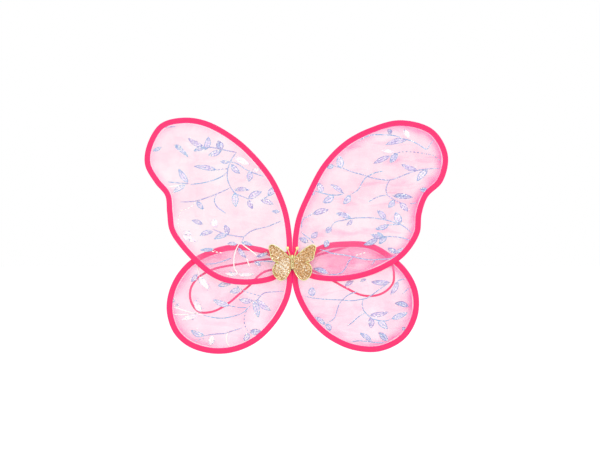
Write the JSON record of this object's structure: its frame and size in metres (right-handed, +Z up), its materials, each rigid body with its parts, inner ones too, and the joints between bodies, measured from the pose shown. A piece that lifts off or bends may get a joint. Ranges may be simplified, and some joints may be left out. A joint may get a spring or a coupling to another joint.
{
  "type": "fairy wings",
  "caption": "Dress-up butterfly wings: satin-bound wire loops with sheer printed film, a glitter butterfly at the centre, a back pad and elastic arm loops.",
  "frame": {"origin": "the middle of the back pad's flat rear face, which lies on the wearer's back", "axes": "+X to the right as seen from the decorated front, +Y from the front towards the wearer's back, +Z up"},
  "size_m": [0.4816, 0.0241, 0.3753],
  "materials": {
    "frame_wire": "satin",
    "crimp": "satin",
    "pink_satin": "satin ribbon, hot pink",
    "printed_film": "sheer pale pink organza with iridescent foil vines",
    "pad_foam": "soft foam sheet",
    "pad_card": "stiff grey-pink board",
    "pink_elastic": "braided round elastic, hot pink",
    "pink_thread": "wound thread",
    "gold_backing": "pale metallic gold",
    "gold_glitter": "coarse gold glitter"
  },
  "bodies": {
    "centre": {"back_pad_rear_cover": "pink_satin", "back_pad_foam": "pad_foam", "back_pad_front_plate": "pad_card", "centre_tie": "pink_thread", "butterfly_body_backing": "gold_backing", "butterfly_body_glitter": "gold_glitter", "left_arm_loop_keeper": "pink_satin", "right_arm_loop_keeper": "pink_satin"},
    "left_lower_wing": {"left_lower_wing_wire": "frame_wire", "left_lower_wing_wire_sleeve": "crimp", "left_lower_wing_binding": "pink_satin", "left_lower_wing_film": "printed_film"},
    "right_lower_wing": {"right_lower_wing_wire": "frame_wire", "right_lower_wing_wire_sleeve": "crimp", "right_lower_wing_binding": "pink_satin", "right_lower_wing_film": "printed_film"},
    "left_upper_wing": {"left_upper_wing_wire": "frame_wire", "left_upper_wing_wire_sleeve": "crimp", "left_upper_wing_binding": "pink_satin", "left_upper_wing_film": "printed_film"},
    "right_upper_wing": {"right_upper_wing_wire": "frame_wire", "right_upper_wing_wire_sleeve": "crimp", "right_upper_wing_binding": "pink_satin", "right_upper_wing_film": "printed_film"},
    "left_lobe": {"butterfly_left_lobe_backing": "gold_backing", "butterfly_left_lobe_glitter": "gold_glitter"},
    "right_lobe": {"butterfly_right_lobe_backing": "gold_backing", "butterfly_right_lobe_glitter": "gold_glitter"},
    "left_arm_elastic": {"left_arm_loop": "pink_elastic"},
    "right_arm_elastic": {"right_arm_loop": "pink_elastic"}
  },
  "joints": [
    {"name": "left_fold", "type": "hinge", "parent": "centre", "child": "left_lower_wing", "pos_m": [-0.005, -0.0122, 0], "axis": [0, 0, 1], "range_deg": [0, 75]},
    {"name": "right_fold", "type": "hinge", "parent": "centre", "child": "right_lower_wing", "pos_m": [0.005, -0.0122, 0], "axis": [0, 0, -1], "range_deg": [0, 75]},
    {"name": "left_upper_bend", "type": "hinge", "parent": "left_lower_wing", "child": "left_upper_wing", "pos_m": [-0.005, -0.0122, 0], "axis": [0, 0, 1], "range_deg": [0, 10]},
    {"name": "right_upper_bend", "type": "hinge", "parent": "right_lower_wing", "child": "right_upper_wing", "pos_m": [0.005, -0.0122, 0], "axis": [0, 0, -1], "range_deg": [0, 10]},
    {"name": "left_lobe_flex", "type": "hinge", "parent": "centre", "child": "left_lobe", "pos_m": [-0.0021, -0.0158, 0], "axis": [0, 0, 1], "range_deg": [0, 75]},
    {"name": "right_lobe_flex", "type": "hinge", "parent": "centre", "child": "right_lobe", "pos_m": [0.0021, -0.0158, 0], "axis": [0, 0, -1], "range_deg": [0, 75]},
    {"name": "left_arm_swing", "type": "hinge", "parent": "centre", "child": "left_arm_elastic", "pos_m": [-0.024, -0.0032, 0], "axis": [0, 0, -1], "range_deg": [0, 90]},
    {"name": "right_arm_swing", "type": "hinge", "parent": "centre", "child": "right_arm_elastic", "pos_m": [0.024, -0.0032, 0], "axis": [0, 0, 1], "range_deg": [0, 90]}
  ],
  "couplings": [
    {"joint": "left_lobe_flex", "follows": "left_fold", "ratio": 1},
    {"joint": "right_lobe_flex", "follows": "right_fold", "ratio": 1}
  ]
}
